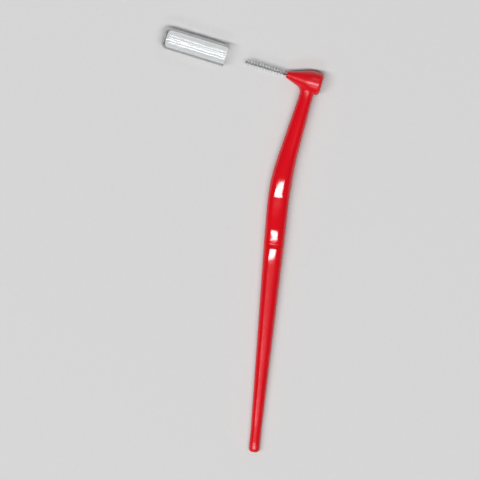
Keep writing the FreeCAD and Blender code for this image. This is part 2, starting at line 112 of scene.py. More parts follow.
class HandleSettings(PropertyGroup):
    """Sizes and colours of the handle."""
    head_diameter: length("Head diameter", "Round barrel at the back of the head", 5.5)
    head_back: length("Head back", "Crossing of wire and neck to the back of the head", 2.825)
    barrel_length: length("Barrel length", "Straight part of the head", 3.175)
    snout_diameter: length("Snout diameter", "Tip of the snout", 1.5)
    snout_round: length("Snout round", "Rounding of the snout tip", 0.25)
    shoulder_round: length("Shoulder round", "Rounding where the snout swells into the barrel", 5.0)
    rim_round: length("Rim round", "Rounding of the back rim", 0.8)
    hole_diameter: length("Wire hole", "Hole that the wire comes out of", 0.62)
    hole_depth: length("Hole depth", "Depth of the wire hole that can be looked into", 2.0)
    front_web: length("Front web", "Rounding between snout and neck", 1.25)
    back_web: length("Back web", "Rounding between back rim and neck", 0.3)
    neck_run: length("Neck run", "Straight neck, from the crossing to the bend", 18.5)
    bend_length: length("Bend length", "Length of the bend along the handle", 14.0)
    bend_angle: FloatProperty(name="Bend angle", description="Turn of the bend", subtype="ANGLE",
                              default=math.radians(11.5))
    collar: place("Collar", "End of the thin neck under the head", 4.8, 3.45, 3.4, 1.5)
    neck: place("Neck", "Start of the grip", 19.2, 4.6, 4.1, 2.0)
    crest: place("Crest", "Crest of the grip", 24.8, 5.25, 4.6, 1.2)
    crest_fall: place("Crest fall", "Middle of the fall from the crest", 27.0, 5.28, 4.284, 1.2)
    dish_edge: place("Dish edge", "Foot of the crest, where the thumb dish starts", 29.5, 5.26, 3.82, 0.35)
    dish_floor: place("Dish floor", "Lowest part of the thumb dish", 32.0, 5.2, 3.75, 1.0)
    dish_rise: place("Dish rise", "Where the thumb dish rises to the first ridge", 34.5, 5.15, 3.82, 1.0)
    first_ridge: place("First ridge", "Cross ridge above the groove", 37.4, 5.11, 4.328, 0.5)
    first_fall: place("First fall", "Middle of the fall from the first ridge", 38.7, 5.06, 4.136, 0.8)
    groove_edge: place("Groove edge", "Foot of the first ridge, above the groove", 40.1, 5.0, 3.846, 0.25)
    second_ridge: place("Second ridge", "Cross ridge below the groove", 42.1, 4.9, 4.26, 0.25)
    second_fall: place("Second fall", "Middle of the fall from the second ridge", 43.6, 4.82, 3.998, 0.8)
    heel: place("Heel", "Foot of the second ridge", 45.2, 4.74, 3.798, 1.5)
    tail: place("Tail", "Start of the round tail", 86.4, 2.65, 2.65, 2.0)
    overall: length("Overall", "Crossing to the end of the tail", 92.4)
    tail_round: length("Tail round", "Rounding of the tail end", 1.0)
    groove_at: length("Groove at", "Middle of the groove between the cross ridges", 41.15)
    groove_width: length("Groove width", "Groove between the cross ridges", 1.9)
    groove_depth: length("Groove depth", "Groove between the cross ridges, on each face", 0.3)
    parting_line: length("Parting line", "Height of the mould's parting line", 0.02)
    end_satin: FloatProperty(name="End satin", description="How much duller the ends are than the grip",
                             default=0.2, min=0.0, max=1.0, subtype="FACTOR")
    plastic: colour("Plastic", "Red plastic", (0.74, 0.0, 0.008))
    plastic_deep: colour("Deep plastic", "Red plastic where it is a little deeper", (0.67, 0.0, 0.008))


class WireSettings(PropertyGroup):
    """Sizes and colour of the twisted wire."""
    strand_diameter: length("Strand diameter", "One leg of the folded wire", 0.24)
    strand_offset: length("Strand offset", "Middle of a leg to the middle of the twist", 0.17)
    twist_pitch: length("Twist pitch", "One full turn of the twist", 1.5)
    steps: IntProperty(name="Steps", description="Points along each leg", default=260, min=8)
    steel: colour("Steel", "Drawn steel", (0.24, 0.25, 0.27))


class FilamentSettings(PropertyGroup):
    """Sizes and colour of the nylon filaments."""
    count: IntProperty(name="Count", description="Filaments along the wire", default=220, min=1)
    diameter: length("Diameter", "One filament", 0.042)
    splay: FloatProperty(name="Splay", description="Most that a filament leans along the wire",
                         subtype="ANGLE", default=math.radians(9))
    fan: FloatProperty(name="Fan", description="Most that a filament leaves its place in the twist",
                       subtype="ANGLE", default=math.radians(16))
    trim: FloatProperty(name="Trim", description="Largest share by which a filament is shorter", default=0.05,
                        min=0.0, max=0.5, subtype="FACTOR")
    seed: IntProperty(name="Seed", description="Seed of the uneven lie", default=7)
    nylon: colour("Nylon", "Milky nylon", (0.93, 0.945, 0.95))


class CapSettings(PropertyGroup):
    """Sizes and colour of the clear cap."""
    wall: length("Wall", "Wall of the tube", 0.6)
    end_wall: length("End wall", "Closed end", 0.9)
    end_round: length("End round", "Rounding of the closed end outside", 1.6)
    well_round: length("Well round", "Rounding of the closed end inside", 0.9)
    mouth_round: length("Mouth round", "Rounding of the mouth", 0.2)
    clear: colour("Clear", "Clear plastic", (0.97, 0.985, 0.99))


class StageSettings(PropertyGroup):
    """Floor, light and camera."""
    view_roll: FloatProperty(name="View roll", description="Turn of the picture about the line of sight",
                             subtype="ANGLE", default=math.radians(17))
    view_height: length("View height", "Height of the picture at the object", 118.0)
    view_distance: length("View distance", "Camera to the object", 2400.0)
    floor: colour("Floor", "Pale floor", (0.66, 0.66, 0.66))
    light_turn: FloatProperty(name="Light turn", description="Turn of the overhead lights about the upright",
                              subtype="ANGLE", default=math.radians(10))
    room: FloatProperty(name="Room light", description="Even light from all sides", default=0.12, min=0.0)


def new_material(name, base, roughness):
    """Material with a Principled shader, and its node tree."""
    material = bpy.data.materials.new(name)
    material.use_nodes = True
    shader = material.node_tree.nodes["Principled BSDF"]
    shader.inputs["Base Color"].default_value = (*base, 1.0)
    shader.inputs["Roughness"].default_value = roughness
    return material, material.node_tree, shader


def object_pattern(tree, stretch):
    """Object coordinates stretched along each axis."""
    where = tree.nodes.new("ShaderNodeTexCoord")
    mapping = tree.nodes.new("ShaderNodeMapping")
    mapping.inputs["Scale"].default_value = stretch
    tree.links.new(where.outputs["Object"], mapping.inputs["Vector"])
    return mapping.outputs["Vector"]


def noise(tree, vector, scale, detail):
    """Noise pattern on a vector."""
    node = tree.nodes.new("ShaderNodeTexNoise")
    node.inputs["Scale"].default_value = scale
    node.inputs["Detail"].default_value = detail
    tree.links.new(vector, node.inputs["Vector"])
    return node.outputs["Fac"]


def ramp(tree, value, first, second):
    """Colour that goes from the first to the second as a noise pattern rises."""
    node = tree.nodes.new("ShaderNodeValToRGB")
    start, end = node.color_ramp.elements
    start.position = NOISE_LOW
    end.position = NOISE_HIGH
    start.color = (*first, 1.0)
    end.color = (*second, 1.0)
    tree.links.new(value, node.inputs["Fac"])
    return node.outputs["Color"]


def spread(tree, value, low, high):
    """Pattern value moved into a range."""
    node = tree.nodes.new("ShaderNodeMapRange")
    node.inputs["To Min"].default_value = low
    node.inputs["To Max"].default_value = high
    tree.links.new(value, node.inputs["Value"])
    return node.outputs["Result"]


def eased_rise(tree, start, end, most):
    """Value that rises smoothly from 0 to the most between two places along Y."""
    along = tree.nodes.new("ShaderNodeSeparateXYZ")
    tree.links.new(object_pattern(tree, EVEN), along.inputs["Vector"])
    node = tree.nodes.new("ShaderNodeMapRange")
    node.interpolation_type = "SMOOTHSTEP"
    node.inputs["From Min"].default_value = start
    node.inputs["From Max"].default_value = end
    node.inputs["To Max"].default_value = most
    tree.links.new(along.outputs["Y"], node.inputs["Value"])
    return node.outputs["Result"]


def bump(tree, shader, height, depth):
    """Surface relief of a given depth in metres."""
    node = tree.nodes.new("ShaderNodeBump")
    node.inputs["Strength"].default_value = 1.0
    node.inputs["Distance"].default_value = depth
    tree.links.new(height, node.inputs["Height"])
    tree.links.new(node.outputs["Normal"], shader.inputs["Normal"])


def toned(base, share):
    """Colour made darker or lighter by a share."""
    return [part * share for part in base]


def red_plastic(settings):
    """Glossy moulded plastic with faint flow marks along the handle, a fine grain and duller ends."""
    material, tree, shader = new_material("red_plastic", settings.plastic, roughness=0.2)
    flow = noise(tree, object_pattern(tree, (1.0, 0.25, 1.0)), scale=260.0, detail=3.0)
    grain = noise(tree, object_pattern(tree, EVEN), scale=5200.0, detail=2.0)
    tree.links.new(ramp(tree, flow, settings.plastic_deep, settings.plastic), shader.inputs["Base Color"])
    gloss = spread(tree, flow, low=0.08, high=0.14)
    collar_end = CROSSING.y - settings.collar[0]
    head = eased_rise(tree, collar_end, collar_end + settings.collar[0] / 2, settings.end_satin)
    tail_end = HANDLE_LOW.y + settings.tail_round
    tail = eased_rise(tree, tail_end + 2 * settings.tail_round, tail_end, settings.end_satin)
    satin = sum_of(tree, "ADD", head, tail)
    tree.links.new(sum_of(tree, "ADD", gloss, satin), shader.inputs["Roughness"])
    bump(tree, shader, grain, depth=0.5e-6)
    shader.inputs["IOR"].default_value = 1.55
    return material


def drawn_steel(settings):
    """Grey wire with fine marks of drawing along it."""
    material, tree, shader = new_material("drawn_steel", settings.steel, roughness=0.3)
    shader.inputs["Metallic"].default_value = 1.0
    drawn = noise(tree, object_pattern(tree, (0.06, 1.0, 1.0)), scale=30000.0, detail=2.0)
    darker = toned(settings.steel, 0.72)
    tree.links.new(ramp(tree, drawn, darker, settings.steel), shader.inputs["Base Color"])
    tree.links.new(spread(tree, drawn, low=0.24, high=0.42), shader.inputs["Roughness"])
    bump(tree, shader, drawn, depth=0.8e-6)
    return material


def milky_nylon(settings):
    """Milky filaments, a little uneven in tone."""
    material, tree, shader = new_material("milky_nylon", settings.nylon, roughness=0.38)
    cloud = noise(tree, object_pattern(tree, EVEN), scale=1500.0, detail=2.0)
    greyer = toned(settings.nylon, 0.9)
    tree.links.new(ramp(tree, cloud, greyer, settings.nylon), shader.inputs["Base Color"])
    tree.links.new(spread(tree, cloud, low=0.3, high=0.46), shader.inputs["Roughness"])
    shader.inputs["IOR"].default_value = 1.53
    return material


def clear_plastic(settings):
    """Clear moulded plastic with a faint ripple along the tube."""
    material, tree, shader = new_material("clear_plastic", settings.clear, roughness=0.0)
    ripple = noise(tree, object_pattern(tree, (0.2, 1.0, 1.0)), scale=420.0, detail=2.0)
    bump(tree, shader, ripple, depth=0.1e-6)
    shader.inputs["Transmission Weight"].default_value = 1.0
    shader.inputs["IOR"].default_value = 1.3
    shader.inputs["Coat Weight"].default_value = 1.0
    shader.inputs["Coat Roughness"].default_value = 0.02
    return material


def pale_floor(settings):
    """Matt paper floor, which shows its plain colour through clear plastic."""
    material, tree, shader = new_material("pale_floor", settings.floor, roughness=0.85)
    grain = noise(tree, object_pattern(tree, EVEN), scale=900.0, detail=3.0)
    lighter = toned(settings.floor, 1.015)
    tree.links.new(ramp(tree, grain, settings.floor, lighter), shader.inputs["Base Color"])
    shader.inputs["Specular IOR Level"].default_value = 0.1
    plain = tree.nodes.new("ShaderNodeEmission")
    plain.inputs["Color"].default_value = (*settings.floor, 1.0)
    mixed = tree.nodes.new("ShaderNodeMixShader")
    tree.links.new(seen_through(tree), mixed.inputs["Fac"])
    tree.links.new(shader.outputs["BSDF"], mixed.inputs[1])
    tree.links.new(plain.outputs["Emission"], mixed.inputs[2])
    tree.links.new(mixed.outputs["Shader"], tree.nodes["Material Output"].inputs["Surface"])
    return material


def seen_through(tree):
    """1 where the stage is seen through clear plastic, 0 where it is seen plainly or only gives light."""
    path = tree.nodes.new("ShaderNodeLightPath")
    straight = sum_of(tree, "LESS_THAN", path.outputs["Diffuse Depth"], 0.5)
    return sum_of(tree, "MULTIPLY", path.outputs["Is Transmission Ray"], straight)


def arc(centre, radius, start, end):
    """Points on an arc; angles in degrees."""
    turns = [math.radians(start + (end - start) * step / ARC_STEPS) for step in range(ARC_STEPS + 1)]
    return [(centre[0] + radius * math.cos(turn), centre[1] + radius * math.sin(turn)) for turn in turns]


def between(start, end, steps):
    """Points on a line, without its end."""
    across = end[0] - start[0]
    up = end[1] - start[1]
    shares = [step / steps for step in range(steps)]
    return [(start[0] + across * share, start[1] + up * share) for share in shares]


def skin(shape, rings):
    """Faces between closed rings of vertices; the two ends are closed by a point at their middle."""
    made = [[shape.verts.new(point) for point in ring] for ring in rings]
    for lower, upper in zip(made, made[1:]):
        for i, vertex in enumerate(lower):
            following = (i + 1) % len(lower)
            shape.faces.new((vertex, lower[following], upper[following], upper[i]))
    for ring, points in ((made[0], rings[0]), (made[-1], rings[-1])):
        middle = shape.verts.new(sum(points, Vector()) / len(points))
        for i, vertex in enumerate(ring):
            shape.faces.new((vertex, ring[(i + 1) % len(ring)], middle))


def turned_rings(profile, ridge):
    """Rings about X from (along, out) points, with a ridge of a given height where the mould parts."""
    rings = []
    for along, out in profile:
        ring = []
        for i in range(TURNED_POINTS):
            turn = 2 * math.pi * i / TURNED_POINTS
            reach = out + (ridge if i % (TURNED_POINTS // 2) == 0 else 0.0)
            ring.append(Vector((along, reach * math.cos(turn), reach * math.sin(turn))))
        rings.append(ring)
    return rings


def finish_mesh(name, shape, seat, material):
    """Object from a mesh in its place, smooth but for its sharp edges, with faces that point outwards."""
    bmesh.ops.recalc_face_normals(shape, faces=shape.faces)
    shape.transform(seat)
    for face in shape.faces:
        face.smooth = True
    for edge in shape.edges:
        edge.smooth = edge.calc_face_angle(0.0) < SHARP_ANGLE
    mesh = bpy.data.meshes.new(name)
    shape.to_mesh(mesh)
    shape.free()
    mesh.materials.append(material)
    made = bpy.data.objects.new(name, mesh)
    bpy.context.scene.collection.objects.link(made)
    return made


def stand_for(piece, node, body):
    """Lets a piece take the place of a node and move with its body."""
    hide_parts(node)
    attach(piece, body)


def head_profile(handle):
    """Half outline of the head, from the bottom of the wire hole over the snout to the back."""
    barrel = handle.head_diameter / 2
    tip = handle.snout_diameter / 2
    hole = handle.hole_diameter / 2
    front = -SNOUT_LENGTH
    corner = handle.head_back - handle.barrel_length
    slope = math.atan2(barrel - tip, corner - front)
    lean = math.degrees(slope)
    rise = handle.snout_round * (math.sin(slope) - 1) / math.cos(slope)
    tip_centre = (front + handle.snout_round, tip + rise)
    reach = handle.shoulder_round * math.tan(slope / 2)
    shoulder_centre = (corner + reach, barrel - handle.shoulder_round)
    rim_centre = (handle.head_back - handle.rim_round, barrel - handle.rim_round)
    nose = arc(tip_centre, handle.snout_round, 180, 90 + lean)
    shoulder = arc(shoulder_centre, handle.shoulder_round, 90 + lean, 90)
    rim = arc(rim_centre, handle.rim_round, 90, 0)
    profile = between((front + handle.hole_depth, hole), (front, hole), steps=6)
    profile += between((front, hole), nose[0], steps=3)
    profile += nose[:-1]
    profile += between(nose[-1], shoulder[0], CONE_STEPS)
    profile += shoulder[:-1]
    profile += between(shoulder[-1], rim[0], BARREL_STEPS)
    profile += rim
    profile.append((handle.head_back, barrel * 0.8))
    profile.append((handle.head_back, barrel * 0.4))
    outside = nose + shoulder + rim[:1]
    return profile, outside


def height_on(outline, along):
    """Height of an outline of rising points at a distance along it."""
    for (start, low), (end, high) in zip(outline, outline[1:]):
        if start <= along <= end and end > start:
            return low + (high - low) * (along - start) / (end - start)
    return outline[-1][1] if along > outline[-1][0] else outline[0][1]


def eased(outline, along, reach):
    """Height of an outline with its corners rounded over a reach."""
    offsets = [2 * i / EASING_STEPS - 1 for i in range(EASING_STEPS + 1)]
    samples = [height_on(outline, along + reach * offset) for offset in offsets]
    weights = [1 - abs(offset) + 0.1 for offset in offsets]
    return sum(sample * weight for sample, weight in zip(samples, weights)) / sum(weights)


def spine(handle, along):
    """Point on the handle's middle line, and how far the line leans there."""
    bend_radius = handle.bend_length / handle.bend_angle
    bent = min(max(along - handle.neck_run, 0.0), handle.bend_length)
    after = max(along - handle.neck_run - handle.bend_length, 0.0)
    lean = handle.bend_angle * bent / handle.bend_length
    side = bend_radius * (1 - math.cos(lean)) + after * math.sin(lean)
    down = min(along, handle.neck_run) + bend_radius * math.sin(lean) + after * math.cos(lean)
    return Vector((side, -down, 0.0)), lean


def section(handle, along, width, thick, height):
    """Oval ring square to the spine, with the parting line on its two sides, and clear of the floor below."""
    middle, lean = spine(handle, along)
    below = min(thick / 2, height)
    across = Vector((math.cos(lean), math.sin(lean), 0.0))
    ring = []
    for i in range(SECTION_POINTS):
        turn = 2 * math.pi * i / SECTION_POINTS
        side = width / 2 * math.cos(turn)
        if i % (SECTION_POINTS // 2) == 0:
            side += math.copysign(handle.parting_line, side)
        up = (thick / 2 if turn < math.pi else below) * math.sin(turn)
        ring.append(middle + across * side + Vector((0.0, 0.0, up)))
    return ring


def neck_web(handle, outside):
    """Rings from inside the head, along its skin and round into the neck."""
    width = handle.collar[1]
    thick = handle.collar[2]
    columns = []
    for i in range(SECTION_POINTS):
        turn = 2 * math.pi * i / SECTION_POINTS
        wall = Vector((width / 2 * math.cos(turn), 0.0, thick / 2 * math.sin(turn)))
        front = (1 - math.cos(turn)) / 2
        web = handle.back_web + (handle.front_web - handle.back_web) * front ** 2
        outer = wall * (1 + web / wall.length)
        corner = on_head(outside, wall)
        start = on_head(outside, outer)
        end = corner - Vector((0.0, web, 0.0))
        inner = Vector((wall.x * 0.8, corner.y * 0.6, wall.z * 0.8))
        columns.append([inner] + curve_round(start, corner, end))
    lowest = min(column[-1].y for column in columns)
    for column in columns:
        end = column[-1]
        level = Vector((end.x, lowest - WEB_DROP, end.z))
        column.extend(end.lerp(level, share) for share in WEB_SHARES)
    return [[column[j] for column in columns] for j in range(len(columns[0]))]


def on_head(outside, point):
    """Point on the lower skin of the head, straight above a point of the neck."""
    radius = height_on(outside, point.x)
    return Vector((point.x, -math.sqrt(max(radius ** 2 - point.z ** 2, 0.0)), point.z))


def curve_round(start, corner, end):
    """Points that round a corner, leaving along one side and arriving along the other."""
    pull = 0.58
    first = start + (corner - start) * pull
    second = end + (corner - end) * pull
    points = []
    for step in range(ARC_STEPS + 1):
        share = step / ARC_STEPS
        rest = 1 - share
        points.append(start * rest ** 3 + first * (3 * share * rest ** 2)
                      + second * (3 * share ** 2 * rest) + end * share ** 3)
    return points


def shaft_rings(handle, lowest):
    """Rings of the neck, grip, taper and tail, from below the web to the rounded end."""
    places = (handle.collar, handle.neck, handle.crest, handle.crest_fall, handle.dish_edge,
              handle.dish_floor, handle.dish_rise, handle.first_ridge, handle.first_fall,
              handle.groove_edge, handle.second_ridge, handle.second_fall, handle.heel, handle.tail)
    widths = [(0.0, handle.collar[1])] + [(spot[0], spot[1]) for spot in places]
    thicks = [(0.0, handle.collar[2])] + [(spot[0], spot[2]) for spot in places]
    rounds = [(spot[0], spot[3]) for spot in places]
    seat, _ = laid_down(handle)
    last = handle.overall - handle.tail_round
    along = lowest
    rings = []
    while along < last:
        width = eased(widths, along, WIDTH_EASING)
        thick = eased(thicks, along, height_on(rounds, along))
        off_groove = abs(along - handle.groove_at) / (handle.groove_width / 2)
        if off_groove < 1:
            thick -= 2 * handle.groove_depth * (1 - off_groove ** 2) ** 2
        height = (seat @ spine(handle, along)[0]).z
        rings.append(section(handle, along, width, thick, height))
        in_grip = handle.crest[0] - FINE_BEYOND_GRIP < along < handle.heel[0] + FINE_BEYOND_GRIP
        under_web = along < lowest + FINE_UNDER_WEB
        along += FINE_STEP if in_grip or under_web else COARSE_STEP
    tail = handle.tail[1] / 2
    for inward, out in arc((0.0, tail - handle.tail_round), handle.tail_round, 90, 0):
        rings.append(section(handle, last + inward, 2 * out, 2 * out, tail))
    return rings


def laid_down(handle):
    """Placement that lays head and tail on the floor."""
    end, _ = spine(handle, handle.overall - handle.tail_round)
    drop = handle.head_diameter / 2 - handle.tail[1] / 2
    tilt = math.asin(drop / -end.y)
    return Matrix.Translation(CROSSING) @ Matrix.Rotation(tilt, 4, "X"), tilt


class INTERDENTAL_OT_handle(Operator):
    """Makes the red handle: a turned head, a web into the neck, and the bent grip"""
    bl_idname = "interdental.handle"
    bl_label = "Handle"

    def execute(self, context):
        handle = context.scene.brush_handle
        seat, _ = laid_down(handle)
        profile, outside = head_profile(handle)
        shape = bmesh.new()
        skin(shape, turned_rings(profile, handle.parting_line))
        web = neck_web(handle, outside)
        lowest = -web[-1][0].y
        skin(shape, web + shaft_rings(handle, lowest + FINE_STEP))
        moulding = finish_mesh("handle_moulding", shape, seat, red_plastic(handle))
        stand_for(moulding, "handle", "brush")
        return {"FINISHED"}


def node_tree(name, inputs):
    """Geometry node tree with named inputs and one mesh output."""
    tree = bpy.data.node_groups.new(name, "GeometryNodeTree")
    for label, kind in inputs:
        tree.interface.new_socket(label, in_out="INPUT", socket_type=kind)
    tree.interface.new_socket("Mesh", in_out="OUTPUT", socket_type="NodeSocketGeometry")
    return tree, tree.nodes.new("NodeGroupInput"), tree.nodes.new("NodeGroupOutput")


def feed(tree, node, **sources):
    """Connects sockets, or sets plain values, by the name of the input."""
    for label, source in sources.items():
        socket = node.inputs[label.replace("_", " ")]
        if isinstance(source, bpy.types.NodeSocket):
            tree.links.new(source, socket)
        else:
            socket.default_value = source
    return node


def sum_of(tree, operation, first, second):
    """Arithmetic on two numbers or sockets."""
    node = tree.nodes.new("ShaderNodeMath")
    node.operation = operation
    for socket, source in zip(node.inputs, (first, second)):
        if isinstance(source, bpy.types.NodeSocket):
            tree.links.new(source, socket)
        else:
            socket.default_value = source
    return node.outputs["Value"]


def joined(tree, x, y, z):
    """Vector from three numbers or sockets."""
    return feed(tree, tree.nodes.new("ShaderNodeCombineXYZ"), X=x, Y=y, Z=z).outputs["Vector"]


def place_along(tree):
    """Place of each point along X."""
    spot = tree.nodes.new("GeometryNodeInputPosition")
    split = feed(tree, tree.nodes.new("ShaderNodeSeparateXYZ"), Vector=spot.outputs["Position"])
    return split.outputs["X"]


def twist_angle(tree, along, given):
    """Angle of the twist at a distance along X."""
    turns = sum_of(tree, "DIVIDE", sum_of(tree, "SUBTRACT", given["Fold"], along), given["Pitch"])
    return sum_of(tree, "SUBTRACT", given["Tilt"], sum_of(tree, "MULTIPLY", turns, 2 * math.pi))


def baked(name, tree, values, body_parts):
    """Plain mesh object from a node tree whose inputs have the given values."""
    mesh = bpy.data.meshes.new(f"{name}_seed")
    holder = bpy.data.objects.new(f"{name}_seed", mesh)
    bpy.context.scene.collection.objects.link(holder)
    modifier = holder.modifiers.new(name, "NODES")
    modifier.node_group = tree
    for item in tree.interface.items_tree:
        if item.in_out == "INPUT":
            modifier[item.identifier] = values[item.name]
    holder.update_tag()
    evaluated = holder.evaluated_get(bpy.context.evaluated_depsgraph_get())
    made = bpy.data.objects.new(name, bpy.data.meshes.new_from_object(evaluated))
    made.data.name = name
    bpy.context.scene.collection.objects.link(made)
    bpy.data.objects.remove(holder)
    if len(made.data.polygons) < body_parts:
        raise RuntimeError(f"{name} came out empty")
    return made


def wire_tree():
    """Two legs that twist about X and the fold that joins them."""
    tree, given_node, out = node_tree("twisted_wire", (
        ("Fold", "NodeSocketFloat"), ("Tip", "NodeSocketFloat"), ("Axis Y", "NodeSocketFloat"),
        ("Axis Z", "NodeSocketFloat"), ("Offset", "NodeSocketFloat"), ("Radius", "NodeSocketFloat"),
        ("Pitch", "NodeSocketFloat"), ("Tilt", "NodeSocketFloat"), ("Steps", "NodeSocketInt"),
        ("Material", "NodeSocketMaterial")))
    given = given_node.outputs
    profile = tree.nodes.new("GeometryNodeCurvePrimitiveCircle")
    feed(tree, profile, Resolution=14, Radius=given["Radius"])
    gather = tree.nodes.new("GeometryNodeJoinGeometry")
    for phase in (0.0, math.pi):
        line = tree.nodes.new("GeometryNodeCurvePrimitiveLine")
        feed(tree, line, Start=joined(tree, given["Fold"], 0.0, 0.0),
             End=joined(tree, given["Tip"], 0.0, 0.0))
        finer = tree.nodes.new("GeometryNodeResampleCurve")
        feed(tree, finer, Curve=line.outputs["Curve"], Count=given["Steps"])
        along = place_along(tree)
        angle = sum_of(tree, "ADD", twist_angle(tree, along, given), phase)
        side = sum_of(tree, "MULTIPLY", sum_of(tree, "COSINE", angle, 0.0), given["Offset"])
        up = sum_of(tree, "MULTIPLY", sum_of(tree, "SINE", angle, 0.0), given["Offset"])
        spot = joined(tree, along, sum_of(tree, "ADD", side, given["Axis Y"]),
                      sum_of(tree, "ADD", up, given["Axis Z"]))
        moved = tree.nodes.new("GeometryNodeSetPosition")
        feed(tree, moved, Geometry=finer.outputs["Curve"], Position=spot)
        leg = tree.nodes.new("GeometryNodeCurveToMesh")
        feed(tree, leg, Curve=moved.outputs["Geometry"], Profile_Curve=profile.outputs["Curve"],
             Fill_Caps=True)
        tree.links.new(leg.outputs["Mesh"], gather.inputs["Geometry"])
    fold = tree.nodes.new("GeometryNodeCurveArc")
    feed(tree, fold, Resolution=24, Radius=given["Offset"], Start_Angle=-math.pi / 2, Sweep_Angle=math.pi)
    placed = tree.nodes.new("GeometryNodeTransform")
    feed(tree, placed, Geometry=fold.outputs["Curve"], Rotation=joined(tree, given["Tilt"], 0.0, 0.0),
         Translation=joined(tree, given["Fold"], given["Axis Y"], given["Axis Z"]))
    bow = tree.nodes.new("GeometryNodeCurveToMesh")
    feed(tree, bow, Curve=placed.outputs["Geometry"], Profile_Curve=profile.outputs["Curve"], Fill_Caps=True)
    tree.links.new(bow.outputs["Mesh"], gather.inputs["Geometry"])
    finish_tree(tree, gather.outputs["Geometry"], given["Material"], out)
    return tree


def fold_place(wire):
    """Place along X where the two legs end and the fold between them starts."""
    return WIRE_HIGH.x - wire.strand_offset - wire.strand_diameter / 2


def finish_tree(tree, geometry, material, out):
    """Ends a tree in real, smooth geometry with its material."""
    real = feed(tree, tree.nodes.new("GeometryNodeRealizeInstances"), Geometry=geometry)
    smooth = feed(tree, tree.nodes.new("GeometryNodeSetShadeSmooth"), Geometry=real.outputs["Geometry"])
    coat = tree.nodes.new("GeometryNodeSetMaterial")
    feed(tree, coat, Geometry=smooth.outputs["Geometry"], Material=material)
    tree.links.new(coat.outputs["Geometry"], out.inputs["Mesh"])


class INTERDENTAL_OT_wire(Operator):
    """Makes the steel wire, folded in half and twisted"""
    bl_idname = "interdental.wire"
    bl_label = "Wire"

    def execute(self, context):
        wire = context.scene.brush_wire
        _, tilt = laid_down(context.scene.brush_handle)
        values = {
            "Fold": fold_place(wire), "Tip": WIRE_LOW.x, "Axis Y": WIRE_MIDDLE.y, "Axis Z": WIRE_MIDDLE.z,
            "Offset": wire.strand_offset, "Radius": wire.strand_diameter / 2, "Pitch": wire.twist_pitch,
            "Tilt": tilt, "Steps": wire.steps, "Material": drawn_steel(wire),
        }
        made = baked("twisted_wire", wire_tree(), values, wire.steps)
        stand_for(made, "core_wire", "brush")
        return {"FINISHED"}


def random_turn(tree, most, seed):
    """Random angle of at most a given size either way."""
    node = tree.nodes.new("FunctionNodeRandomValue")
    node.data_type = "FLOAT"
    numbers = [socket for socket in node.inputs if socket.type == "VALUE"]
    tree.links.new(sum_of(tree, "MULTIPLY", most, -1.0), numbers[0])
    tree.links.new(most, numbers[1])
    tree.links.new(seed, node.inputs["Seed"])
    return next(socket for socket in node.outputs if socket.type == "VALUE")


def filament_tree():
    """Filaments along the wire, each lying in the twist with a little fan and splay."""
    tree, given_node, out = node_tree("filament_row", (
        ("Count", "NodeSocketInt"), ("First", "NodeSocketFloat"), ("Last", "NodeSocketFloat"),
        ("Axis Y", "NodeSocketFloat"), ("Axis Z", "NodeSocketFloat"), ("Fold", "NodeSocketFloat"),
        ("Pitch", "NodeSocketFloat"), ("Tilt", "NodeSocketFloat"), ("Length", "NodeSocketFloat"),
        ("Radius", "NodeSocketFloat"), ("Fan", "NodeSocketFloat"), ("Splay", "NodeSocketFloat"),
        ("Trim", "NodeSocketFloat"), ("Seed", "NodeSocketInt"), ("Material", "NodeSocketMaterial")))
    given = given_node.outputs
    row = tree.nodes.new("GeometryNodeMeshLine")
    row.mode = "END_POINTS"
    start, end = [socket for socket in row.inputs if socket.type == "VECTOR"]
    tree.links.new(joined(tree, given["First"], given["Axis Y"], given["Axis Z"]), start)
    tree.links.new(joined(tree, given["Last"], given["Axis Y"], given["Axis Z"]), end)
    tree.links.new(given["Count"], row.inputs["Count"])
    thread = tree.nodes.new("GeometryNodeMeshCylinder")
    feed(tree, thread, Vertices=6, Side_Segments=2, Radius=given["Radius"], Depth=given["Length"])
    along = place_along(tree)
    fan = random_turn(tree, given["Fan"], given["Seed"])
    splay = random_turn(tree, given["Splay"], sum_of(tree, "ADD", given["Seed"], 1.0))
    trim = random_turn(tree, given["Trim"], sum_of(tree, "ADD", given["Seed"], 2.0))
    lean = tree.nodes.new("FunctionNodeAxisAngleToRotation")
    feed(tree, lean, Axis=(0.0, 1.0, 0.0), Angle=splay)
    turn = tree.nodes.new("FunctionNodeAxisAngleToRotation")
    feed(tree, turn, Axis=(1.0, 0.0, 0.0),
         Angle=sum_of(tree, "ADD", twist_angle(tree, along, given), fan))
    both = tree.nodes.new("FunctionNodeRotateRotation")
    feed(tree, both, Rotation=lean.outputs["Rotation"], Rotate_By=turn.outputs["Rotation"])
    shorter = sum_of(tree, "SUBTRACT", 1.0, sum_of(tree, "ABSOLUTE", trim, 0.0))
    placed = tree.nodes.new("GeometryNodeInstanceOnPoints")
    feed(tree, placed, Points=row.outputs["Mesh"], Instance=thread.outputs["Mesh"],
         Rotation=both.outputs["Rotation"], Scale=joined(tree, 1.0, 1.0, shorter))
    finish_tree(tree, placed.outputs["Instances"], given["Material"], out)
    return tree


